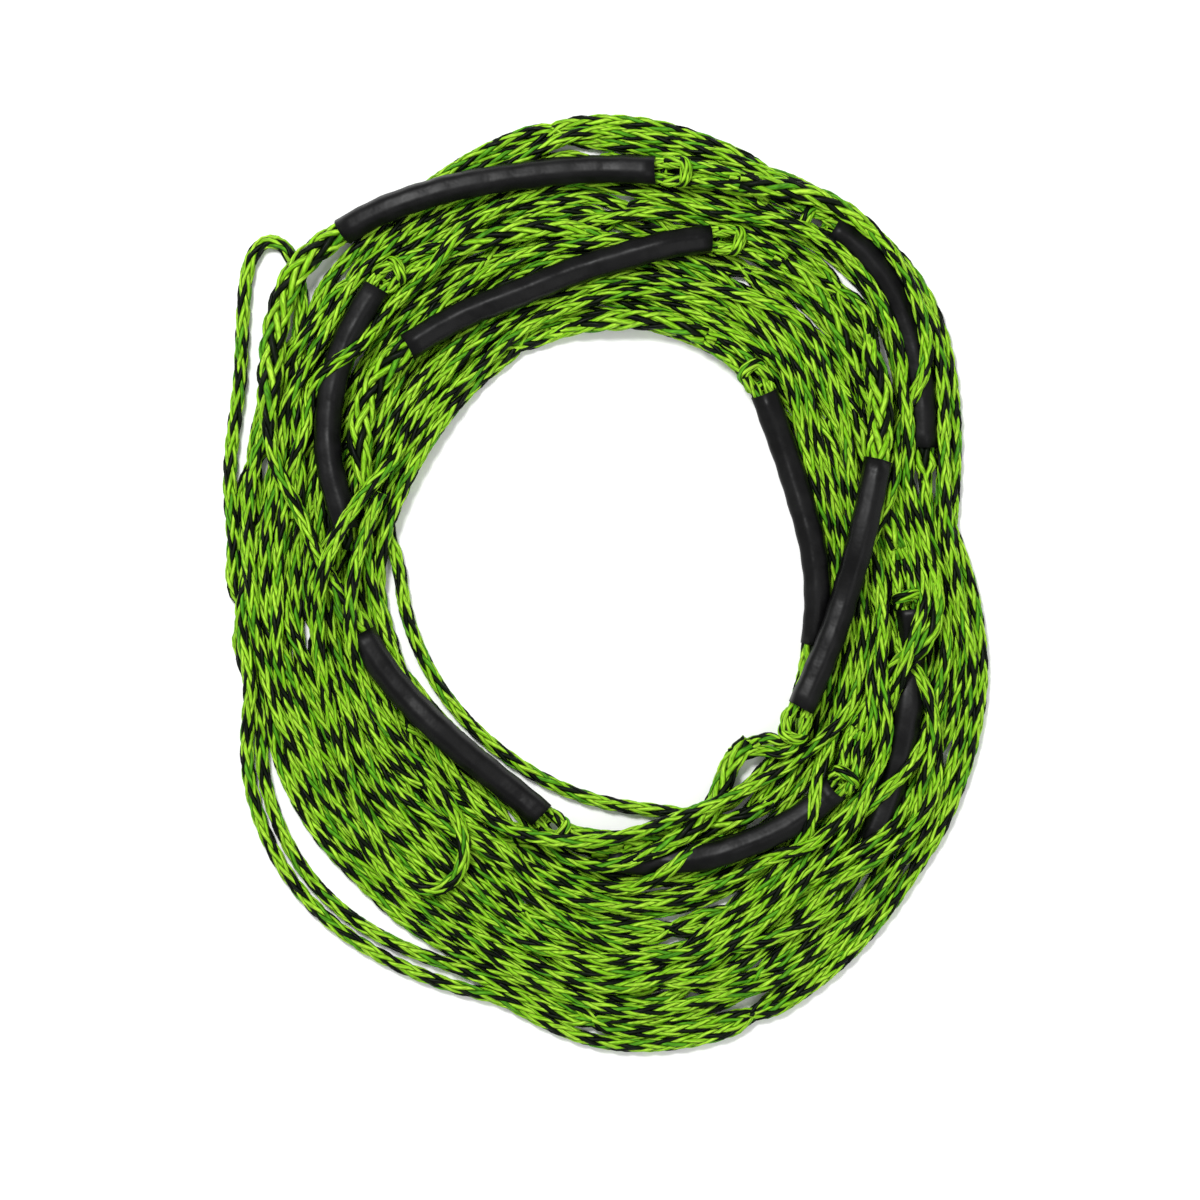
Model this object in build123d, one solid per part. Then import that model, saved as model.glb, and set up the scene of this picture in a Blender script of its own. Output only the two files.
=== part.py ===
"""A multi-section tow line, loosely coiled and lying flat on one side.

Ten sections of hollow braided rope are joined loop through loop. At each of the nine
joins the rope's tail is buried inside its own hollow braid, and a black sleeve covers
that splice. Most of the line is wound in three coils, and its uncoiled stretches lie
over and beside them.
Millimetres, +Z up, origin at the middle of the coil on the surface it lies on.
"""

import os
from math import atan2, cos, degrees, hypot, pi, radians, sin, tan

from build123d import *

# Overall size of the coil as it lies
coil_length = 410.0
coil_width = 329.0

# Rope and splices
rope_diameter = 6.4
splice_diameter = 12.2
packed_splice_diameter = 9.8
tail_diameter = 5.8
tail_setback = 9.0

# Black sleeves over the splices
sleeve_length = 112.0
long_sleeve_length = 140.0
least_splice_shown = 4.0
sleeve_wall = 1.1
sleeve_clearance = 0.2

# The coil's two layers of turns underneath, and the one that lies between the sleeves
layers_underneath = 2
nesting = 0.94
inner_share = 0.36
edge_rounding = 2.5
upper_inset_outside = 6.0
upper_inset_inside = 4.0

# Loop-through-loop joins
join_width = 19.2
join_wraps = 2
leg_length = 18.0
leg_end_gap = 0.3

# Clearances
rest_gap = 0.3
side_gap = 0.4
over_gap = 0.5

sleeve_bore = packed_splice_diameter + 2 * sleeve_clearance
sleeve_diameter = sleeve_bore + 2 * sleeve_wall
join_height = 2 * rope_diameter
base_height = layers_underneath * rope_diameter * nesting
upper_bottom = base_height + rest_gap
upper_height = rope_diameter * nesting
upper_top = upper_bottom + upper_height

# Heights of a centre line: on the floor, on the coil, on its upper turns, over a sleeve
floor_level = rope_diameter / 2
join_level = base_height + rest_gap + join_height / 2
upper_level = upper_top + rest_gap + rope_diameter / 2
over_level = join_level + sleeve_diameter / 2 + over_gap + rope_diameter / 2

# Radius of the coil's outside and inside, every 22.5 degrees from +X towards +Y
outside_radii = (
    158.4, 159, 191, 196, 204.5, 191, 178, 160, 158, 160, 168, 176, 202.6, 203, 189, 175.6,
)
inside_radii = (
    105, 102, 103, 111, 111, 105, 97, 93, 94, 90, 88, 94, 108, 106, 105, 104,
)
drawn_length = 410.0
drawn_width = 329.0


def place(x, y):
    """A point of the layout, stretched with the coil's overall size."""
    return x * coil_width / drawn_width, y * coil_length / drawn_length


def ring_points(radii, inset=0.0):
    """Points of a closed outline around the coil, each moved inwards by inset."""
    step = 2 * pi / len(radii)
    return [
        place((radius - inset) * cos(i * step), (radius - inset) * sin(i * step))
        for i, radius in enumerate(radii)
    ]


def outline(points):
    """The face inside a smooth closed curve through the points."""
    curve = Spline(*points, periodic=True)
    return make_face(curve)


def coil_solid(outer_points, inner_points, bottom, height):
    """A flat-bottomed ring between two outlines, with its outer edges eased."""
    outer = extrude(outline(outer_points), height)
    rims = outer.faces().filter_by(Axis.Z).edges()
    outer = chamfer(rims, edge_rounding)
    inner = extrude(outline(inner_points), height)
    return Pos(0, 0, bottom) * (outer - inner)


def route_wire(name, points):
    """Straight runs joined by arcs as large as the runs allow."""
    points = [Vector(*point) for point in points]
    bends = []
    for before, here, after in zip(points, points[1:], points[2:]):
        turn = radians((here - before).get_angle(after - here))
        shorter = min((here - before).length, (after - here).length)
        bends.append(0.45 * shorter / tan(turn / 2))
    print(name, "bend radii", [round(bend) for bend in bends])
    if not bends:
        return Wire([Edge.make_line(points[0], points[1])])
    return FilletPolyline(*points, radius=bends).wire()


def tube(wire, diameter, bore=0.0):
    """A round solid along a wire, hollow where a bore is given."""
    section_plane = Plane(origin=wire @ 0, z_dir=wire % 0)
    solid = sweep(section_plane * Circle(diameter / 2), path=wire)
    if bore:
        solid -= sweep(section_plane * Circle(bore / 2), path=wire)
    return solid


def check_volume(name, solid, wire, diameter):
    """Prints a tube's volume against its section times its length."""
    expected = pi * diameter**2 / 4 * wire.length
    print(name, "length", round(wire.length, 1), "volume ratio", round(solid.volume / expected, 4))


def raised(points, level):
    """Layout points as places in space, at the level given unless one names its own."""
    return [(*place(*point[:2]), point[2] if len(point) > 2 else level) for point in points]


def band(points, width):
    """The strip of floor under a route, as joined slots."""
    strip = None
    for start, end in zip(points, points[1:]):
        length = hypot(end[0] - start[0], end[1] - start[1])
        angle = degrees(atan2(end[1] - start[1], end[0] - start[0]))
        middle = Pos((start[0] + end[0]) / 2, (start[1] + end[1]) / 2)
        piece = middle * Rot(0, 0, angle) * SlotCenterToCenter(length, width)
        strip = piece if strip is None else strip + piece
    return strip


def join_frame(route):
    """The plane at the middle of a join, with its X along the splice that leaves it."""
    start = Vector(*route[0])
    ahead = Vector(route[1][0] - route[0][0], route[1][1] - route[0][1], 0).normalized()
    middle = start - ahead * (join_wraps * rope_diameter / 2 + side_gap)
    return Plane(origin=(middle.X, middle.Y, join_level), x_dir=ahead, z_dir=(0, 0, 1))


def join_solid(route):
    """Two flat wraps of rope around the legs that they hold, as one knot."""
    bend = rope_diameter / 2
    straight = join_width - 2 * rope_diameter
    knot = Box(join_wraps * rope_diameter, straight + bend, rope_diameter)
    for i in range(join_wraps):
        shift = (i - (join_wraps - 1) / 2) * rope_diameter
        wrap_plane = Plane(origin=(shift, 0, 0), x_dir=(0, 1, 0), z_dir=(1, 0, 0))
        disc = wrap_plane * SlotOverall(join_width, join_height)
        wrap = extrude(disc, rope_diameter / 2 - side_gap / 4, both=True)
        knot += fillet(wrap.edges(), rope_diameter / 2 - side_gap)
    return join_frame(route).location * knot


def leg_tubes(route, length):
    """The two legs of the neighbouring section's loop, leaving the join's far face."""
    frame = join_frame(route)
    legs = []
    for side in (-1, 1):
        offset = side * (rope_diameter / 2 + side_gap / 4)
        start = -(join_wraps * rope_diameter / 2 + leg_end_gap)
        drop = base_height + rest_gap + rope_diameter / 2 - join_level
        leg = Plane(origin=(start, offset, drop), z_dir=(-1, 0, 0)) * Circle(rope_diameter / 2)
        legs.append(frame.location * extrude(leg, length, dir=(-1, 0, 0)))
    return legs


# Each join's splice, from the join outwards: it runs through the sleeve, then bare.
joins = {
    "top": [
        (33, 178.2), (8, 179.9), (-21, 178.8), (-46, 175.2), (-66, 171.6), (-84.5, 165.8),
        (-103, 158.2), (-117.2, 150), (-128, 141.5), (-135.4, 131), (-140, 118),
        (-142.2, 103), (-142.8, 88), (-144.5, 74),
    ],
    "upper_middle": [
        (56.5, 150.2), (33.8, 148.1), (8, 141.7), (-17.8, 133.1), (-40, 123.8),
        (-59, 117.2), (-75, 108.5), (-90.5, 97), (-99.6, 85), (-104.2, 71),
        (-104.6, 57), (-101, 45),
    ],
    "upper_left": [
        (-94, 133.5), (-104, 118.5), (-112, 102.5), (-117.3, 85), (-119.2, 66.5),
        (-117.4, 49), (-112.7, 33.5), (-106.2, 21),
    ],
    "inner_right": [
        (72.5, 77), (78.2, 61.5, 18.3), (85, 42, 13.2), (91.3, 21, 8.4), (94.6, 0, 6.6),
        (94, -20, 6.4), (90.2, -36, 6.4), (84.5, -49, 6.4),
    ],
    "right": [
        (82.5, -60.5), (88.6, -48), (95.6, -31), (102.8, -12.5, 19.2), (109.2, 8.5, 19.2),
        (114.8, 30), (118.6, 50), (120.6, 68), (120.4, 84), (116.8, 98),
    ],
    "lower_left": [
        (-28.5, -96.5), (-40, -88.2), (-54.5, -76.5), (-70.5, -62.8), (-86.6, -46.4),
        (-100.6, -27.5), (-110.5, -8.5), (-116.3, 8),
    ],
    "upper_right": [
        (110.5, 149), (121.6, 135), (130.3, 119), (135.8, 101), (138.6, 82), (139.4, 62.5),
        (138.2, 46), (136.6, 33),
    ],
    "lower_right": [
        (135.5, -15.5), (133.8, -33), (132.6, -52), (129.8, -71.5), (125, -90),
        (118.4, -108), (110.2, -125), (102, -137),
    ],
    "bottom": [
        (99.5, -91), (85.5, -102.2), (66, -111.5), (44, -117.6), (21.5, -119.8),
        (2, -119.2), (-12.5, -116.5),
    ],
}
long_sleeves = ("top", "upper_middle")
short_legs = {"upper_left": 4.0, "right": 2.0, "bottom": 4.0, "lower_left": 4.0}

# Single rope that lies loose over or beside the coil
loose_routes = {
    "handle_end_loop": [
        (-161.3, 35, floor_level), (-162.4, 51, floor_level), (-159.6, 69, floor_level),
        (-156.4, 90, floor_level), (-156, 111, floor_level), (-154.8, 130, floor_level),
        (-153, 141.5, floor_level), (-147.4, 150.6, floor_level), (-138.2, 150.2, floor_level),
        (-133.4, 140, floor_level), (-128.9, 125.2, floor_level),
    ],
    "boat_end_loop": [
        (-85.5, 57.5, over_level - 4), (-95, 48, over_level), (-104.5, 36.5, over_level + 0.4),
        (-113.5, 22, over_level), (-119.6, 7, over_level + 0.3), (-122.4, -10, over_level),
        (-122, -30, over_level - 3), (-118.5, -50.5, upper_level), (-113, -72, upper_level),
        (-106, -92, upper_level), (-97.5, -110, upper_level), (-88.5, -124.5, upper_level),
        (-78, -133.6, upper_level), (-66.4, -132.4, upper_level), (-59.4, -123, upper_level),
        (-58.4, -109.5, upper_level), (-64.2, -95.5, upper_level), (-75, -82, upper_level),
        (-87.8, -68.2, upper_level), (-98, -54, upper_level + 1), (-104.2, -38, over_level - 2),
        (-108.2, -20, over_level), (-108.4, -2, over_level + 0.3), (-103.4, 14, over_level - 3),
    ],
    "inner_strand": [
        (-87.6, 6, floor_level), (-86.6, -8, floor_level), (-79.6, -28.2, floor_level),
        (-70, -46, floor_level), (-57.5, -61, floor_level), (-42.5, -74, floor_level),
        (-24.5, -85.6, floor_level), (-5, -93.6, floor_level), (14, -97.2, floor_level),
        (31.6, -98.7, floor_level),
    ],
    "outer_strand": [
        (-153.5, -63, floor_level), (-154, -80, floor_level), (-149.6, -100, floor_level),
        (-141, -119.5, floor_level), (-128.4, -137, floor_level), (-112, -151.6, floor_level),
        (-93, -163.2, floor_level), (-74, -171.4, floor_level), (-57, -176.6, floor_level),
    ],
    "second_outer_strand": [
        (-147, -80, floor_level), (-143, -98, floor_level), (-135, -115.8, floor_level),
        (-123.6, -131.8, floor_level), (-108.6, -145.4, floor_level),
        (-91, -155.6, floor_level), (-73.4, -162.8, floor_level),
    ],
    "loose_eye_rope": [
        (68.8, -74.4, 14.2), (62.2, -76, 9.4), (56.8, -80.4, 5.4), (53.4, -86.4, floor_level),
    ],
}

# The wound stretches: two coils side by side, and the upper turns between the sleeves
outer_points = ring_points(outside_radii)
inner_points = ring_points(inside_radii)
middle_radii = [
    inside + inner_share * (outside - inside)
    for inside, outside in zip(inside_radii, outside_radii)
]
boat_end_coil = coil_solid(outer_points, ring_points(middle_radii), 0.0, base_height)
handle_end_coil = coil_solid(ring_points(middle_radii, side_gap), inner_points, 0.0, base_height)

upper_face = outline(ring_points(outside_radii, upper_inset_outside))
upper_face -= outline(ring_points(inside_radii, -upper_inset_inside))
shapes = {"boat_end_coil": boat_end_coil, "handle_end_coil": handle_end_coil}

for name, layout in joins.items():
    route = raised(layout, join_level)
    wire = route_wire(name, route)
    wanted = long_sleeve_length if name in long_sleeves else sleeve_length
    covered = min(wanted, wire.length - least_splice_shown) / wire.length
    in_sleeve = wire.trim(0.0, covered)
    shapes[f"{name}_sleeve"] = tube(in_sleeve, sleeve_diameter, sleeve_bore)
    core = tube(in_sleeve, packed_splice_diameter)
    check_volume(name, core, in_sleeve, packed_splice_diameter)
    core += tube(wire.trim(covered, 1.0), splice_diameter)
    buried = wire.trim(0.0, 1.0 - tail_setback / wire.length)
    shapes[f"{name}_splice"] = core - tube(buried, tail_diameter + 2 * sleeve_clearance)
    inner_end = 1.0 - (tail_setback + rest_gap) / wire.length
    shapes[f"{name}_buried_tail"] = tube(wire.trim(0.0, inner_end), tail_diameter)
    shapes[f"{name}_join"] = join_solid(route)
    legs = leg_tubes(route, short_legs.get(name, leg_length))
    shapes[f"{name}_loop_legs"] = Compound(children=legs)
    frame = join_frame(route)
    reach = join_wraps * rope_diameter / 2 + short_legs.get(name, leg_length)
    leg_end = frame.origin - frame.x_dir * reach
    upper_face -= band(route, max(sleeve_diameter, splice_diameter) + 2 * side_gap)
    upper_face -= band([tuple(leg_end), route[0]], join_width + 2 * side_gap)

upper_turns = Pos(0, 0, upper_bottom) * extrude(upper_face, upper_height)
shapes["middle_sections_coil"] = max(upper_turns.solids(), key=lambda part: part.volume)

for name, layout in loose_routes.items():
    wire = route_wire(name, raised(layout, upper_level))
    shapes[name] = tube(wire, rope_diameter)
    check_volume(name, shapes[name], wire, rope_diameter)

os.makedirs("parts", exist_ok=True)
for name, shape in shapes.items():
    export_step(shape, f"parts/{name}.step")
print("nodes", len(shapes))
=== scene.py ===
"""A sectioned tow rope, loosely coiled and lying flat, in metres on the CAD part's frame.

Ten sections of hollow braid are joined loop through loop, with a black sleeve beside
each join. The whole line is laid as one route, dropped until its turns rest on each
other, and then made as braided yarns, sleeves and knots.
"""

from math import atan2, hypot, pi

import bpy
import numpy as np
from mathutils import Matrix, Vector


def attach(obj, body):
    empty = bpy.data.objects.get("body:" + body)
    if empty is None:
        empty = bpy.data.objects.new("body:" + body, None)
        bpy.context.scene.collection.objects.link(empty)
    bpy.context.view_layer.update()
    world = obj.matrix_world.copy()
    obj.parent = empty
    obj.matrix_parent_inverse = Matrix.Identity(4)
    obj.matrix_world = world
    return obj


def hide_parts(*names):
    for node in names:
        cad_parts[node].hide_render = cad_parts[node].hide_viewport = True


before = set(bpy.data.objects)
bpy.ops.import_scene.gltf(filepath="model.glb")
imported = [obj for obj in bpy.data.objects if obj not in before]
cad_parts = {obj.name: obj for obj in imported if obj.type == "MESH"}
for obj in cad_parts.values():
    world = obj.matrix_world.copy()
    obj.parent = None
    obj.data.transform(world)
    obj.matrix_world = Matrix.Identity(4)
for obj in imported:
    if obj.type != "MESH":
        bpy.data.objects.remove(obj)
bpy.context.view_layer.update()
random = np.random.default_rng(7)

# Sizes, in millimetres: the route is worked out in them and made in metres
MM = 0.001
ROPE = 6.4
SPLICE = 12.0
SLEEVE = 12.4
SLEEVE_WALL = 1.0
SLEEVE_SIDES = 48
SLEEVE_LENGTH = 112.0
LONG_SLEEVE_LENGTH = 140.0
KNOT_HALF = 8.0
LEG_LENGTH = 24.0
LOOP_STRAND = 2.7
FAR_SPLICE_LENGTH = 80.0
TAPER = 26.0

# Radius of the coil's outside and inside, every 22.5 degrees from +X towards +Y
OUTSIDE = (161, 162, 192, 197, 204, 191, 178, 165, 163, 161, 168, 177, 201, 203, 189, 177)
INSIDE = (93, 94, 103, 111, 111, 105, 97, 93, 94, 91, 88, 95, 109, 106, 104, 96)

# Each join's splice in plan, from the join outwards
JOINS = {
    "top": [
        (33, 178.2), (8, 179.9), (-21, 178.8), (-46, 175.2), (-66, 171.6), (-84.5, 165.8),
        (-103, 158.2), (-117.2, 150), (-128, 141.5), (-135.4, 131), (-140, 118),
        (-142.2, 103), (-142.8, 88), (-144.5, 74),
    ],
    "upper_middle": [
        (56.5, 150.2), (33.8, 148.1), (8, 141.7), (-17.8, 133.1), (-40, 123.8),
        (-59, 117.2), (-75, 108.5), (-90.5, 97), (-99.6, 85), (-104.2, 71),
        (-104.6, 57), (-101, 45),
    ],
    "upper_left": [
        (-94, 133.5), (-104, 118.5), (-112, 102.5), (-117.3, 85), (-119.2, 66.5),
        (-117.4, 49), (-112.7, 33.5), (-106.2, 21),
    ],
    "inner_right": [
        (72.5, 77), (78.2, 61.5), (85, 42), (91.3, 21), (94.6, 0), (94, -20), (90.2, -36),
        (84.5, -49),
    ],
    "right": [
        (82.5, -60.5), (88.6, -48), (95.6, -31), (102.8, -12.5), (109.2, 8.5),
        (114.8, 30), (118.6, 50), (120.6, 68), (120.4, 84), (116.8, 98),
    ],
    "lower_left": [
        (-28.5, -96.5), (-40, -88.2), (-54.5, -76.5), (-70.5, -62.8), (-86.6, -46.4),
        (-100.6, -27.5), (-110.5, -8.5), (-116.3, 8),
    ],
    "upper_right": [
        (110.5, 149), (121.6, 135), (130.3, 119), (135.8, 101), (138.6, 82), (139.4, 62.5),
        (138.2, 46), (136.6, 33),
    ],
    "lower_right": [
        (135.5, -15.5), (133.8, -33), (132.6, -52), (129.8, -71.5), (125, -90),
        (118.4, -108), (110.2, -125), (102, -137),
    ],
    "bottom": [
        (99.5, -91), (85.5, -102.2), (66, -111.5), (44, -117.6), (21.5, -119.8),
        (2, -119.2), (-12.5, -116.5),
    ],
}
LONG_SLEEVES = ("top", "upper_middle")
# On these the splice comes before the join, going clockwise
SPLICE_FIRST = ("top", "upper_middle", "upper_left", "right")

# Loose stretches of single rope in plan, going clockwise
LOOSE = {
    "boat_end_loop": [
        (-96, 40), (-101, 27), (-105.4, 14), (-108.4, -2), (-108.2, -20), (-104.2, -38),
        (-98, -54), (-87.8, -68.2), (-75, -82), (-64.2, -95.5), (-58.4, -109.5),
        (-59.4, -123), (-66.4, -132.4), (-78, -133.6), (-88.5, -124.5), (-97.5, -110),
        (-106, -92), (-113, -72), (-118.5, -50.5), (-122, -30), (-122.4, -10), (-119.6, 7),
        (-113.5, 22), (-104.5, 36.5), (-95, 48), (-85.5, 57.5),
    ],
    "crescent": [(62, 172.5), (86, 171), (109, 160), (128, 142), (139, 118), (142, 92)],
    "second_crescent": [
        (50, 160), (82, 158), (102, 146), (118, 129), (128, 108), (132, 84), (133, 60),
    ],
    "eye_rope": [(68, -67), (61, -69), (55.5, -77), (52.5, -88), (47, -100)],
    "bright_strand": [
        (108.1, -56.5), (97, -66), (82.8, -77), (66, -87), (48.4, -95.5), (25.2, -104.4),
        (8, -109.4), (-9.2, -111.6), (-34.6, -108), (-55, -101.3),
    ],
    "inner_strand": [
        (31.6, -98.7), (14, -97.2), (-5, -93.6), (-24.5, -85.6), (-42.5, -74), (-57.5, -61),
        (-70, -46), (-79.6, -28.2), (-86.6, -8), (-87.6, 6),
    ],
    "outer_strand": [
        (-57, -176.6), (-74, -171.4), (-93, -163.2), (-112, -151.6), (-128.4, -137),
        (-141, -119.5), (-149.6, -100), (-154, -80), (-153.5, -63),
    ],
    "second_outer_strand": [
        (-73.4, -162.8), (-91, -155.6), (-108.6, -145.4), (-123.6, -131.8), (-135, -115.8),
        (-143, -98), (-147, -80),
    ],
    "handle_end_loop": [
        (-160.5, 33), (-161.5, 51), (-159.5, 69), (-156.4, 90), (-156, 111), (-154.8, 130),
        (-153, 141.5), (-147.4, 150.6), (-138.2, 150.2), (-133.4, 140), (-128.9, 125.2),
        (-129.5, 108), (-131.5, 90), (-132.4, 70), (-131, 50), (-128, 30),
    ],
}

# The line from end to end: stretches, each with its place in the heap counted from the
# floor, and between them the whole turns of a section and where they lie across the coil
LINE = [
    ("boat_end_loop", 28, 28),
    (8.2, (26, 20, 1, 2, 4, 5, 6, 21, 23, 24), (
        0.5, 0.95, 0.7, 0.35, 0.3, 0.1, 0.3, 0.9, 1.0, 0.9, 0.95, 0.3, 0.3, 0.7, 1.0, 0.8)),
    ("second_crescent", 26, 26),
    (0.2, (24, 12), (0.7, 0.4)),
    ("bottom", 4, 8),
    (0.28, (12, 20), (0.5,)),
    ("upper_left", 20, 20),
    (0.6, (22, 23), (0.3, 0.12, 0.1, 0.12)),
    ("lower_left", 26, 26),
    (0.06, (26, 26), ()),
    ("top", 27, 27),
    (0.0, (27, 27), ()),
    ("crescent", 27, 27),
    (0.12, (25, 25), (0.2,)),
    ("bright_strand", 27, 27),
    (0.24, (25, 24), (0.1, 0.05)),
    ("upper_middle", 28, 28),
    (1.19, (24, 17), (0.6, 0.4, 0.3, 0.15, 0.1, 0.3)),
    ("lower_right", 4, 4),
    (1.05, (11, 12), (0.3, 0.1, 0.05, 0.08, 0.04)),
    ("inner_strand", 1, 1),
    (0.35, (10, 16), (0.03, 0.05)),
    ("inner_right", 17, 17),
    (1.8, (12, 14), (0.35, 0.12, 0.3, 0.55, 0.2, 0.42)),
    ("right", 27, 27),
    (0.0, (27, 27), ()),
    ("eye_rope", 26, 25),
    (2.66, (24, 23, 17, 14, 11), (0.12, 0.45, 0.2, 0.6, 0.35, 0.15, 0.5, 0.3, 0.68)),
    ("upper_right", 4, 4),
    (1.34, (9, 8), (0.65, 0.3, 0.5)),
    ("outer_strand", 3, 2),
    (0.86, (6, 6), (0.7, 0.3, 0.5)),
    ("second_outer_strand", 3, 2),
    (2.08, (3, 2), (0.5, 0.75, 0.3, 0.6, 0.6)),
    ("handle_end_loop", 6, 20),
]
# The height of one place in the heap before the line is dropped
HEAP_STEP = 2.6
POINTS_PER_TURN = 36
# How far a turn wanders across the coil, and how many times in each turn
WANDER = 0.028
WANDER_RATES = (0.9, 1.7, 2.6, 3.9)

# The dropped line is a row of balls STEP apart, which fall, push and straighten
STEP = 5.0
SAMPLES = 8
FALL = 0.7
ROUNDS = 240
PUSHES = 3
PUSH = 1.3
STRAIGHTEN = 0.3
ALONG_APART = 30.0
NEAR = 4.0
# How strongly each part keeps its place in plan
HOLD_TURN = 0.004
HOLD_LOOSE = 0.25
HOLD_JOIN = 0.3
# The hollow braid flattens a little where turns lie on each other
SQUASH = 0.86
PRESSED_IN = 0.12

# Yarns round the rope: black below 1/3, green below 2/3, lime above
YARNS = (0.9, 0.8, 0.1, 0.95, 0.5, 0.15, 0.85, 0.7, 0.9, 0.1, 0.75, 0.5, 0.92, 0.15, 0.8, 0.25)
STRAND_BULGE = 0.44
STRAND_EDGE = 0.12
# Each splice's braid: its pitch, and its strands' width and thickness
SPLICE_BRAID = {"pitch": 84, "width": 3.1, "thick": 1.5}
FAR_SPLICE_BRAID = {"pitch": 84, "width": 2.7, "thick": 1.3}
LOOP_BRAID = {"radius": LOOP_STRAND, "pitch": 60, "width": 1.9, "thick": 0.8}
# Radius of a splice inside its sleeve, at its tapered end, and of the far splice
PACKED_RADIUS = 5.0
TAPER_RADIUS = 2.9
FAR_RADII = (4.6, 4.9, 4.7, TAPER_RADIUS)
# How far a section's single rope runs into its loop, from the middle of the join
INTO_EYE = 14
INTO_LEGS = 8

# A loop that hangs round its neighbour: along the join, beside it and above it
LOOP = (
    (14, 2.8, 0), (8, 3, 0), (2, 3.4, -1.5), (-3, 4.8, 0), (-4.6, 3.4, 2.8), (-4.8, 0, 3.8),
    (-4.6, -3.4, 2.8), (-3, -4.8, 0), (2, -3.4, -1.5), (8, -3, 0), (14, -2.8, 0),
)

# CAD nodes that a section's single rope takes the place of, by the section's number
SECTION_NODES = {
    2: ("middle_sections_coil",),
    7: ("inner_strand",),
    8: ("loose_eye_rope",),
}
SECTION_COUNT = 10


# ---------------------------------------------------------------- the line's layout


def run_of(points):
    """How far along the points each of them is."""
    return np.concatenate(([0], np.cumsum(np.linalg.norm(np.diff(points, axis=0), axis=1))))


def at_places(places, run, line):
    """The line's points at the given distances along it."""
    return np.column_stack([np.interp(places, run, line[:, axis]) for axis in range(3)])


def nurbs_line(points, samples_per_point):
    """Points along the smooth spline that has the given control points."""
    curve = bpy.data.curves.new("route", "CURVE")
    curve.dimensions = "3D"
    spline = curve.splines.new("NURBS")
    spline.points.add(len(points) - 1)
    flat = np.ones((len(points), 4))
    flat[:, :3] = points
    spline.points.foreach_set("co", flat.ravel())
    spline.order_u = 3
    spline.use_endpoint_u = True
    spline.resolution_u = samples_per_point
    carrier = bpy.data.objects.new("route", curve)
    bpy.context.scene.collection.objects.link(carrier)
    mesh = bpy.data.meshes.new_from_object(carrier)
    line = np.empty(len(mesh.vertices) * 3)
    mesh.vertices.foreach_get("co", line)
    bpy.data.objects.remove(carrier)
    bpy.data.curves.remove(curve)
    bpy.data.meshes.remove(mesh)
    return line.reshape(-1, 3)


def outline_radius(radii, turn):
    """The coil's radius at a place counted in clockwise turns from +Y."""
    count = len(radii)
    waves = np.fft.rfft(radii) / count
    angle = pi / 2 - 2 * pi * np.asarray(turn)
    total = np.full(angle.shape, waves[0].real)
    for order in range(1, len(waves)):
        share = 1.0 if 2 * order == count else 2.0
        total += share * (waves[order] * np.exp(1j * order * angle)).real
    return total


def across(point):
    """Where a point lies: its turn clockwise from +Y, and its share across the coil."""
    turn = atan2(point[0], point[1]) / (2 * pi) % 1.0
    inside, outside = outline_radius(INSIDE, turn), outline_radius(OUTSIDE, turn)
    return turn, float((hypot(*point[:2]) - inside) / (outside - inside))


def wound_points(start, end, turns, heap, shares):
    """Points of a section's turns, from one stretch's end to the next one's start."""
    start_turn, start_share = across(start)
    end_turn, end_share = across(end)
    end_turn += round(start_turn + turns - end_turn)
    count = max(2, int((end_turn - start_turn) * POINTS_PER_TURN))
    t = (np.arange(count) + 0.5) / count
    knots = np.array([start_share, *shares, end_share])
    place = np.interp(t, np.linspace(0, 1, len(knots)), knots)
    phases = random.uniform(0, 2 * pi, len(WANDER_RATES))
    wander = sum(
        np.sin(2 * pi * rate * (end_turn - start_turn) * t + phase)
        for rate, phase in zip(WANDER_RATES, phases)
    )
    place = np.clip(place + WANDER * wander * np.sin(pi * t), 0.02, 1.0)
    turn = start_turn + (end_turn - start_turn) * t
    inside, outside = outline_radius(INSIDE, turn), outline_radius(OUTSIDE, turn)
    radius = inside + ROPE / 2 + place * (outside - inside - ROPE)
    height = np.interp(t, np.linspace(0, 1, len(heap)), heap)
    angle = 2 * pi * turn
    return np.column_stack((radius * np.sin(angle), radius * np.cos(angle), height))


def lay_line():
    """The whole line's control points, and where each stretch lies among them."""
    stretches = {}
    points = []
    for index, item in enumerate(LINE):
        if isinstance(item[0], str):
            name, first_height, last_height = item
            plan = LOOSE.get(name) or JOINS[name]
            plan = plan[::-1] if name in SPLICE_FIRST else plan
            heights = np.linspace(first_height, last_height, len(plan))
            stretches[name] = (len(points), len(points) + len(plan) - 1)
            points += [(x, y, height) for (x, y), height in zip(plan, heights)]
        else:
            turns, heap, shares = item
            following = LINE[index + 1][0]
            plan = LOOSE.get(following) or JOINS[following]
            ahead = plan[-1] if following in SPLICE_FIRST else plan[0]
            points += wound_points(points[-1], ahead, turns, heap, shares).tolist()
    return np.array(points), stretches


# ---------------------------------------------------------------- dropping it in a heap


def even_line(line, spacing):
    """The same line with its points a set distance apart."""
    run = run_of(line)
    places = np.linspace(0, run[-1], max(3, int(run[-1] / spacing) + 1))
    return at_places(places, run, line)


def near_pairs(line, thickness):
    """Pairs of the line's points that lie close, other than neighbours along it."""
    found = []
    reach = 2 * thickness.max() + NEAR / 2
    rows = 500
    for start in range(0, len(line), rows):
        block = line[start:start + rows]
        squares = (
            (block**2).sum(1)[:, None] + (line**2).sum(1)[None] - 2 * block @ line.T
        )
        first, second = np.nonzero(squares < reach**2)
        first = first + start
        apart = second - first > ALONG_APART / STEP
        found.append(np.column_stack((first[apart], second[apart])))
    pairs = np.concatenate(found)
    gap = np.linalg.norm(line[pairs[:, 0]] - line[pairs[:, 1]], axis=1)
    return pairs[gap < thickness[pairs[:, 0]] + thickness[pairs[:, 1]] + NEAR].T


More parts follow.
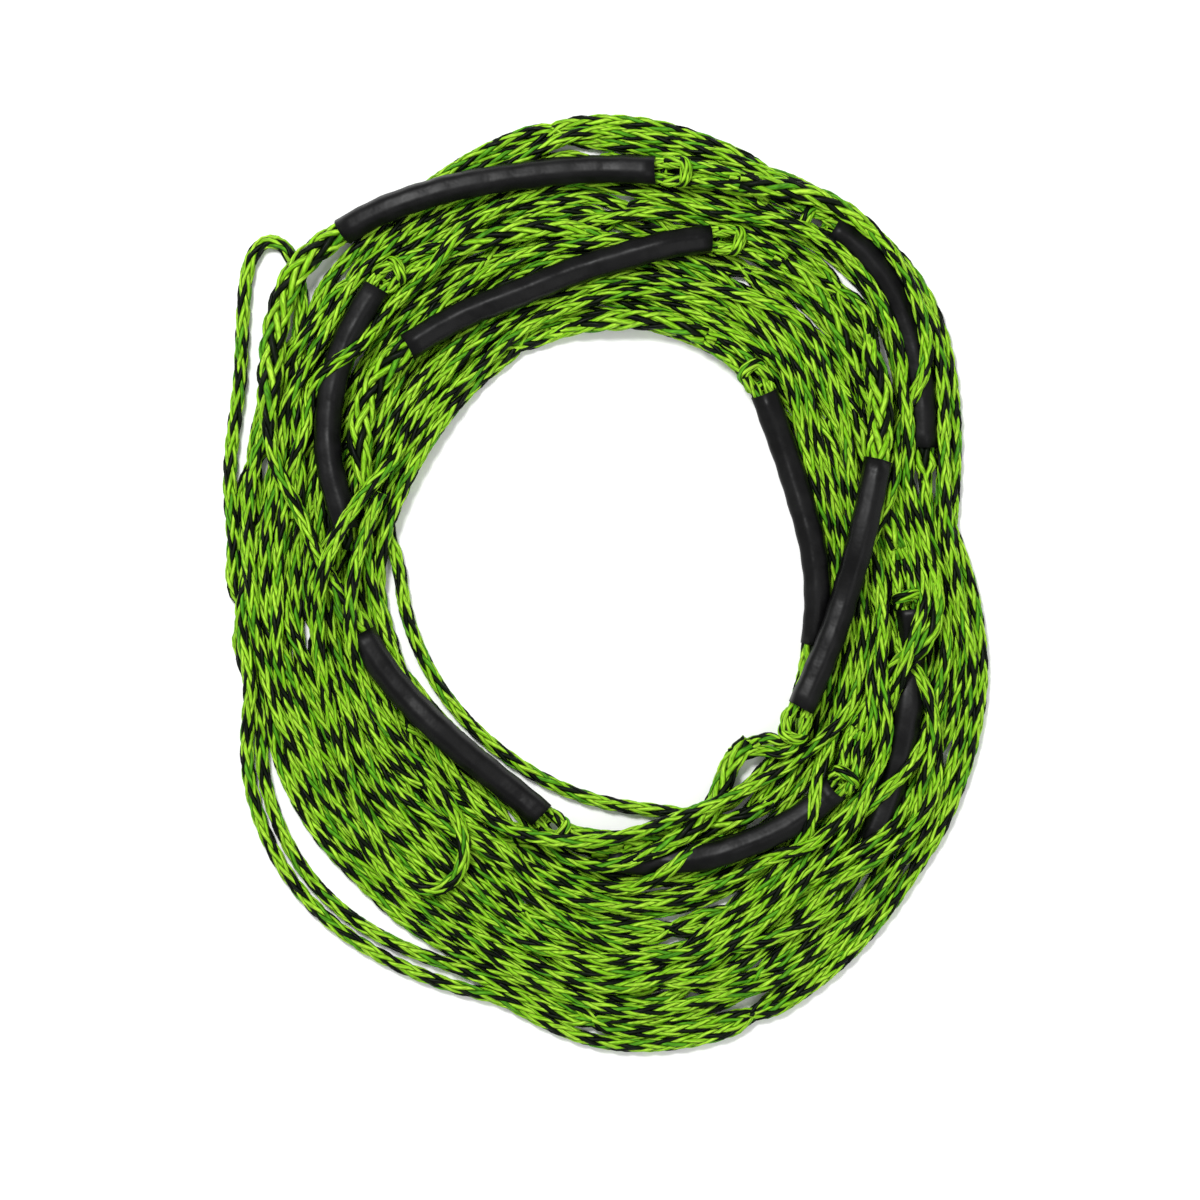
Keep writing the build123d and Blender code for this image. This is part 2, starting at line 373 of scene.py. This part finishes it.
def settle(line, thickness, hold, rounds):
    """The line once it has dropped to the floor, its turns resting on each other."""
    start = line.copy()
    angle = np.arctan2(line[:, 0], line[:, 1]) / (2 * pi)
    radius = np.hypot(line[:, 0], line[:, 1])
    outermost = np.maximum(outline_radius(OUTSIDE, angle) - ROPE / 2, radius) + 0.5
    innermost = np.minimum(outline_radius(INSIDE, angle) + ROPE / 2, radius) - 0.5
    for step in range(rounds):
        if step % 4 == 0:
            first, second = near_pairs(line, thickness)
        line[:, 2] -= FALL * (1 - 0.9 * step / rounds)
        for _ in range(PUSHES):
            gap = line[second] - line[first]
            distance = np.linalg.norm(gap, axis=1) + 1e-6
            lack = thickness[first] + thickness[second] - distance
            touching = lack > 0
            push = gap[touching] * (0.5 * lack[touching] / distance[touching])[:, None]
            move = np.zeros_like(line)
            share = np.zeros(len(line))
            for side, sign in ((first, -1), (second, 1)):
                np.add.at(move, side[touching], sign * push)
                np.add.at(share, side[touching], 1)
            line += move / np.maximum(share, 1)[:, None] * PUSH
            line[:, 2] = np.maximum(line[:, 2], thickness)
        shift = line - start
        shift[1:-1] += STRAIGHTEN * (0.5 * (shift[:-2] + shift[2:]) - shift[1:-1])
        shift[:, :2] *= (1 - hold)[:, None]
        line = start + shift
        radius = np.hypot(line[:, 0], line[:, 1])
        line[:, :2] *= (np.clip(radius, innermost, outermost) / radius)[:, None]
        line[:, 2] = np.maximum(line[:, 2], thickness)
    return line


control, stretches = lay_line()
control[:, 2] = ROPE / 2 + control[:, 2] * HEAP_STEP
rough = nurbs_line(control, SAMPLES)
rough_run = run_of(rough)


def run_at(index):
    """How far along the line a control point is."""
    return rough_run[int(np.clip((index - 0.5) * SAMPLES, 0, len(rough) - 1))]


line = even_line(rough, STEP)
run = np.linspace(0, rough_run[-1], len(line))
thickness = np.full(len(line), ROPE / 2 - PRESSED_IN)
hold = np.full(len(line), HOLD_TURN)
joins = {}
for name, (first, last) in stretches.items():
    begin, end = run_at(first), run_at(last)
    inside = (run >= begin) & (run <= end)
    if name in LOOSE:
        hold[inside] = HOLD_LOOSE
        continue
    sign = -1 if name in SPLICE_FIRST else 1
    mouth, far = (end, begin) if name in SPLICE_FIRST else (begin, end)
    centre = mouth - sign * KNOT_HALF
    joins[name] = {"centre": centre, "mouth": mouth, "far": far, "sign": sign}
    away = (run - centre) * sign
    legs_end, splice_end = KNOT_HALF + LEG_LENGTH, abs(far - mouth) + KNOT_HALF
    # Half the thickness: far splice, loop legs, knot, then the sleeve and its splice
    places, sizes = zip(
        (-legs_end - FAR_SPLICE_LENGTH, 3.1), (-legs_end - 50, 4.6), (-legs_end, 4.9),
        (-KNOT_HALF, 5.5), (0, 6.8), (KNOT_HALF, 6.15), (splice_end, 6.15),
        (splice_end + TAPER, 3.1),
    )
    thickness = np.maximum(thickness, np.interp(away, places, sizes))
    hold[(away > -10) & (away < abs(far - mouth))] = HOLD_JOIN

line = settle(line, thickness, hold, ROUNDS)
line[:, 2] = thickness + SQUASH * (line[:, 2] - thickness)


# ---------------------------------------------------------------- shader maths


class Signal:
    """A shader socket that takes part in sums."""

    def __init__(self, tree, socket):
        self.tree = tree
        self.socket = socket

    def node(self, kind, settings=(), output=0, **inputs):
        """Another node in the same tree, with its settings made before its inputs."""
        made = self.tree.nodes.new(kind)
        for name, value in dict(settings).items():
            setattr(made, name, value)
        for name, value in inputs.items():
            key = int(name[1:]) if name[0] == "i" and name[1:].isdigit() else name
            put(self.tree, made.inputs[key], value)
        return Signal(self.tree, made.outputs[output])

    def maths(self, operation, *values):
        """A Math node's result for numbers and signals."""
        inputs = {f"i{index}": value for index, value in enumerate(values)}
        return self.node("ShaderNodeMath", {"operation": operation}, **inputs)

    def __add__(self, other):
        return self.maths("ADD", self, other)

    def __sub__(self, other):
        return self.maths("SUBTRACT", self, other)

    def __rsub__(self, other):
        return self.maths("SUBTRACT", other, self)

    def __mul__(self, other):
        return self.maths("MULTIPLY", self, other)

    __radd__ = __add__
    __rmul__ = __mul__

    def ramp(self, low, high, to_low=0.0, to_high=1.0):
        """This signal's range from low to high, made into another range."""
        return self.node(
            "ShaderNodeMapRange", {"interpolation_type": "SMOOTHSTEP"},
            i0=self, i1=low, i2=high, i3=to_low, i4=to_high,
        )

    def mix(self, first, second):
        """The first colour where this signal is 0, and the second where it is 1."""
        return self.node(
            "ShaderNodeMix", {"data_type": "RGBA"}, output=2, i0=self, i6=first, i7=second
        )


def put(tree, socket, value):
    """Links a signal to a socket, or sets a plain value on it."""
    if isinstance(value, Signal):
        tree.links.new(value.socket, socket)
    else:
        socket.default_value = value


def surface(name):
    """A new material, its shader, and a signal to start its node tree with."""
    material = bpy.data.materials.new(name)
    material.use_nodes = True
    shader = material.node_tree.nodes["Principled BSDF"]
    return material, shader, Signal(material.node_tree, None)


def braid_material():
    """Glossy plastic yarns: lime, green and black, each made of finer threads."""
    material, shader, start = surface("braided_yarn")
    tree = material.node_tree
    yarn = start.node("ShaderNodeAttribute", {"attribute_name": "yarn"}, output=1)
    parts = start.node("ShaderNodeSeparateXYZ", i0=yarn)
    x, y, tone = (Signal(tree, parts.socket.node.outputs[index]) for index in range(3))
    place = start.node(
        "ShaderNodeCombineXYZ", i0=x * 1.6 + tone * 40, i1=y * 0.16 + x * 0.25, i2=tone * 17
    )
    threads = start.node(
        "ShaderNodeTexNoise", Vector=place, Scale=2.2, Detail=1.5, Roughness=0.5
    )
    streaks = start.node(
        "ShaderNodeTexNoise", Vector=place, Scale=0.7, Detail=1.0, Roughness=0.5
    )
    faded = streaks.ramp(0.3, 0.7)
    lime = faded.mix((0.19, 0.49, 0.008, 1), (0.40, 0.72, 0.045, 1))
    green = faded.mix((0.055, 0.24, 0.008, 1), (0.12, 0.40, 0.012, 1))
    black = faded.mix((0.002, 0.004, 0.002, 1), (0.006, 0.012, 0.004, 1))
    colour = tone.ramp(0.66, 0.67).mix(tone.ramp(0.33, 0.34).mix(black, green), lime)
    # Painted shade: darker in the grooves between the threads, and towards the strand's edges
    edge_shade = x.maths("ABSOLUTE", x).ramp(0.55, 1.0, 1.0, 0.35)
    shade = threads.ramp(0.3, 0.62, 0.45, 1.0) * edge_shade
    shaded = start.node(
        "ShaderNodeMix", {"data_type": "RGBA", "blend_type": "MULTIPLY"}, output=2,
        i0=1.0, i6=colour, i7=shade,
    )
    put(tree, shader.inputs["Base Color"], shaded)
    put(tree, shader.inputs["Roughness"], threads.ramp(0.3, 0.7, 0.5, 0.34))
    shader.inputs["Specular IOR Level"].default_value = 0.07
    bump = start.node("ShaderNodeBump", Strength=0.35, Distance=0.0004, Height=threads)
    put(tree, shader.inputs["Normal"], bump)
    return material


def sleeve_material():
    """Black satin plastic tube."""
    material, shader, start = surface("black_sleeve")
    tree = material.node_tree
    place = start.node("ShaderNodeTexCoord", output=3)
    cloud = start.node("ShaderNodeTexNoise", Vector=place, Scale=90.0, Detail=3.0)
    colour = cloud.ramp(0.35, 0.7).mix((0.0018, 0.0018, 0.002, 1), (0.0045, 0.0045, 0.0048, 1))
    put(tree, shader.inputs["Base Color"], colour)
    put(tree, shader.inputs["Roughness"], cloud.ramp(0.3, 0.7, 0.38, 0.5))
    shader.inputs["Specular IOR Level"].default_value = 0.16
    bump = start.node("ShaderNodeBump", Strength=0.4, Distance=0.0016, Height=cloud)
    put(tree, shader.inputs["Normal"], bump)
    return material


# ---------------------------------------------------------------- braid, sleeves, knots


def mesh_piece(name, points, quads, material, yarn=None):
    """A smooth mesh from points in millimetres, with its yarn marks if it is braid."""
    mesh = bpy.data.meshes.new(name)
    mesh.vertices.add(len(points))
    mesh.vertices.foreach_set("co", (points * MM).ravel())
    mesh.loops.add(quads.size)
    mesh.loops.foreach_set("vertex_index", quads.ravel())
    mesh.polygons.add(len(quads))
    mesh.polygons.foreach_set("loop_start", np.arange(0, quads.size, 4))
    mesh.polygons.foreach_set("use_smooth", np.ones(len(quads), bool))
    mesh.update(calc_edges=True)
    mesh.validate()
    if yarn is not None:
        marks = mesh.attributes.new("yarn", "FLOAT_VECTOR", "POINT")
        marks.data.foreach_set("vector", yarn.ravel())
    mesh.materials.append(material)
    piece = bpy.data.objects.new(name, mesh)
    bpy.context.scene.collection.objects.link(piece)
    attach(piece, "root")
    return piece


def frames_along(line):
    """Directions along, beside and above each point, turning as little as possible."""
    along = np.gradient(line, axis=0)
    along /= np.linalg.norm(along, axis=1)[:, None]
    side = np.empty_like(line)
    side[0] = np.cross(along[0], (0, 0, 1))
    side[0] /= np.linalg.norm(side[0])
    for index in range(1, len(line)):
        turned = side[index - 1] - along[index] * (side[index - 1] @ along[index])
        side[index] = turned / np.linalg.norm(turned)
    return along, side, np.cross(side, along)


def braid(name, line, material, radius=ROPE / 2, pitch=74.0, width=2.1, thick=0.95, turn=0.0):
    """Eight strands wound each way round the line, each over two and under two."""
    radius = np.broadcast_to(radius, len(line))
    along, side, up = frames_along(line)
    run = run_of(line)
    half = len(YARNS) // 2
    lift = STRAND_BULGE * thick
    twist = turn + 0.9 * np.sin(run / 170 + turn) + run / 900
    points, quads, marks = [], [], []
    for index, tone in enumerate(YARNS):
        way = 1 if index < half else -1
        own = way * 2 * pi * run / pitch + 2 * pi * (index % half) / half + pi / (2 * half)
        over = way * np.tanh(1.6 * np.cos(half / 2 * own)) / 0.92
        centre = radius - lift - thick * 0.5 + lift * over
        angle = own + twist
        out = np.cos(angle)[:, None] * side + np.sin(angle)[:, None] * up
        middle = line + centre[:, None] * out
        path = np.gradient(middle, axis=0)
        path /= np.linalg.norm(path, axis=1)[:, None]
        across = np.cross(path, out)
        across /= np.linalg.norm(across, axis=1)[:, None]
        slim = np.minimum(radius / radius.max() + 0.15, 1)
        spread = (0.5 * width * (0.9 + 0.1 * over) * slim)[:, None]
        first = len(points) * 4 * len(line)
        corners = np.stack(
            (middle - across * spread - out * thick * STRAND_EDGE, middle + out * thick * 0.5,
             middle + across * spread - out * thick * STRAND_EDGE, middle - out * thick * 0.5),
            axis=1,
        )
        points.append(corners.reshape(-1, 3))
        rows = first + 4 * np.arange(len(line) - 1)[:, None]
        near, far = rows + np.arange(4), rows + np.roll(np.arange(4), -1)
        quads.append(np.stack((near, far, far + 4, near + 4), axis=-1).reshape(-1, 4))
        last = first + 4 * (len(line) - 1)
        quads.append(np.array([[first + 3, first + 2, first + 1, first],
                               [last, last + 1, last + 2, last + 3]]))
        mark = np.empty((len(line), 4, 3))
        mark[:, :, 0] = (-1, 0, 1, 0)
        mark[:, :, 1] = run[:, None] + 37 * index
        mark[:, :, 2] = tone
        marks.append(mark.reshape(-1, 3))
    piece = mesh_piece(
        name, np.concatenate(points), np.concatenate(quads), material, np.concatenate(marks)
    )
    return piece


def sleeve(name, line, material):
    """A tube round the line that shows the braid under it, its ends a little uneven."""
    along, side, up = frames_along(line)
    run = run_of(line)
    angle = np.linspace(0, 2 * pi, SLEEVE_SIDES, endpoint=False)
    start = random.uniform(0, 6)
    bump_length = 26
    weave = np.sin(3 * angle + 2 * pi * run[:, None] / bump_length + start) * np.sin(
        3 * angle - 2 * pi * run[:, None] / bump_length
    )
    slow = np.sin(run[:, None] / 9 + start) * np.cos(angle - run[:, None] / 30)
    outer = SLEEVE / 2 - 0.2 + 0.34 * weave + 0.16 * slow
    ends = np.exp(-run / 2.5) + np.exp(-(run[-1] - run) / 2.5)
    outer = outer + 0.12 * ends[:, None]
    skew = ends[:, None] * np.sin(angle + start) * 0.5

    def wall(size):
        """Rings of points round the line, at the given distances from it."""
        out = np.cos(angle)[:, None] * side[:, None] + np.sin(angle)[:, None] * up[:, None]
        return line[:, None] + size[..., None] * out + skew[..., None] * along[:, None]

    rings = np.concatenate((wall(outer), wall(outer - SLEEVE_WALL)[::-1]))
    count = len(rings)
    row = np.arange(count)[:, None] * SLEEVE_SIDES
    following = (np.arange(count)[:, None] + 1) % count * SLEEVE_SIDES
    here = np.arange(SLEEVE_SIDES)
    beside = (here + 1) % SLEEVE_SIDES
    quads = np.stack((row + here, following + here, following + beside, row + beside), axis=-1)
    piece = mesh_piece(name, rings.reshape(-1, 3), quads.reshape(-1, 4), material)
    return piece


def between(begin, end):
    """The settled line from one place to another, smooth and closely spaced."""
    spacing = 10
    places = np.linspace(begin, end, max(4, int((end - begin) / spacing) + 1))
    return nurbs_line(at_places(places, run, line), 3)


def loop_points(join, legs):
    """One loop of a join: a strand that comes in, goes round and returns."""
    points = np.array(LOOP, float)
    if legs:
        legs_end = LOOP[0][0] + LEG_LENGTH
        points = np.vstack(((legs_end, 1.8, 0), (24, 2.8, 0.2), points,
                            (24, -2.8, -0.2), (legs_end, -1.8, 0)))
        points *= (-1, 1, -1)
    places = join["centre"] + join["sign"] * points[:, 0]
    centre = at_places(places, run, line)
    x = at_places(places + 4, run, line) - centre
    x /= np.linalg.norm(x, axis=1)[:, None]
    y = np.cross((0, 0, 1), x)
    y /= np.linalg.norm(y, axis=1)[:, None]
    z = np.cross(x, y)
    loop = nurbs_line(centre + points[:, 1, None] * y + points[:, 2, None] * z, 6)
    loop[:, 2] = np.maximum(loop[:, 2], LOOP_STRAND + 0.05)
    return loop


yarn_skin = braid_material()
tube_skin = sleeve_material()
order = sorted(joins, key=lambda name: joins[name]["centre"])
for name in order:
    join = joins[name]
    length = LONG_SLEEVE_LENGTH if name in LONG_SLEEVES else SLEEVE_LENGTH
    sign, mouth, far = join["sign"], join["mouth"], join["far"]
    tube_end = mouth + sign * length
    piece = sleeve(f"{name}_black_sleeve", between(*sorted((mouth, tube_end))), tube_skin)
    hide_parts(f"{name}_sleeve")
    begin, end = sorted((mouth + sign * 3, far + sign * 4))
    path = between(begin, end)
    away = run_of(path)
    if sign < 0:
        away = away[-1] - away
    size = np.interp(away, (0, length - 6, length + 4, away.max() - TAPER, away.max()),
                     (PACKED_RADIUS, PACKED_RADIUS, SPLICE / 2, SPLICE / 2, TAPER_RADIUS))
    piece = braid(f"{name}_thick_splice", path, yarn_skin, size, turn=len(name), **SPLICE_BRAID)
    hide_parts(f"{name}_splice", f"{name}_buried_tail")
    start = join["centre"] - sign * (KNOT_HALF + LEG_LENGTH - 3)
    path = between(*sorted((start, start - sign * FAR_SPLICE_LENGTH)))
    away = run_of(path)
    if sign > 0:
        away = away[-1] - away
    size = np.interp(away, (0, 6, FAR_SPLICE_LENGTH - 40, away.max()), FAR_RADII)
    braid(f"{name}_far_splice", path, yarn_skin, size, turn=len(name) + 1, **FAR_SPLICE_BRAID)
    piece = braid(f"{name}_eye", loop_points(join, False), yarn_skin, **LOOP_BRAID)
    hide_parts(f"{name}_join")
    piece = braid(f"{name}_loop", loop_points(join, True), yarn_skin, turn=1.0, **LOOP_BRAID)
    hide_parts(f"{name}_loop_legs")


def cord_piece(name, begin, end, replaced):
    """One section's single rope, from one place on the settled line to another."""
    path = between(begin, end)
    piece = braid(name, path, yarn_skin, turn=begin / 50)
    if replaced:
        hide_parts(*replaced)


# Where each join's loops begin and end, so that the single ropes run between them
bounds = [(0, 0)]
for name in order:
    join = joins[name]
    leg = KNOT_HALF + LEG_LENGTH - INTO_LEGS
    before, after = (INTO_EYE, leg) if join["sign"] < 0 else (leg, INTO_EYE)
    bounds.append((join["centre"] - before, join["centre"] + after))
bounds.append((run[-1], run[-1]))
for number in range(1, SECTION_COUNT + 1):
    begin, end = bounds[number - 1][1], bounds[number][0]
    if number == 1:
        half = 0.5 * (begin + end)
        cord_piece("boat_end_section", begin, half, ("boat_end_loop",))
        cord_piece("boat_end_section_rest", half - 1, end, ("boat_end_coil",))
    elif number == SECTION_COUNT:
        cord_piece("handle_end_section", begin, end,
                   ("handle_end_coil", "handle_end_loop", "outer_strand",
                    "second_outer_strand"))
    else:
        replaced = SECTION_NODES.get(number, ())
        cord_piece(f"section_{number}", begin, end, replaced)


# ---------------------------------------------------------------- floor, light, camera


def make_floor():
    mesh = bpy.data.meshes.new("floor")
    mesh.from_pydata([(-3, -3, 0), (3, -3, 0), (3, 3, 0), (-3, 3, 0)], [], [(0, 1, 2, 3)])
    floor = bpy.data.objects.new("floor", mesh)
    bpy.context.scene.collection.objects.link(floor)
    material, shader, _ = surface("pale_floor")
    shader.inputs["Base Color"].default_value = (0.94, 0.94, 0.94, 1)
    shader.inputs["Roughness"].default_value = 0.9
    shader.inputs["Specular IOR Level"].default_value = 0.1
    mesh.materials.append(material)


def make_light(name, place, size, power):
    data = bpy.data.lights.new(name, "AREA")
    data.energy = power
    data.size = size
    light = bpy.data.objects.new(name, data)
    light.location = place
    light.rotation_euler = Vector(place).to_track_quat("Z", "Y").to_euler()
    bpy.context.scene.collection.objects.link(light)


def make_camera():
    data = bpy.data.cameras.new("camera")
    data.lens = 138
    data.sensor_width = 36
    camera = bpy.data.objects.new("camera", data)
    camera.location = (-0.0006, -0.0067, 2.0)
    bpy.context.scene.collection.objects.link(camera)
    bpy.context.scene.camera = camera


make_floor()
make_light("key", (-0.5, 0.8, 1.7), 0.45, 34)
make_light("fill", (1.0, -0.7, 1.4), 1.2, 8)
make_camera()
world = bpy.data.worlds.new("studio")
world.use_nodes = True
world.node_tree.nodes["Background"].inputs[0].default_value = (1, 1, 1, 1)
world.node_tree.nodes["Background"].inputs[1].default_value = 0.6
bpy.context.scene.world = world
bpy.context.scene.view_settings.view_transform = "Standard"
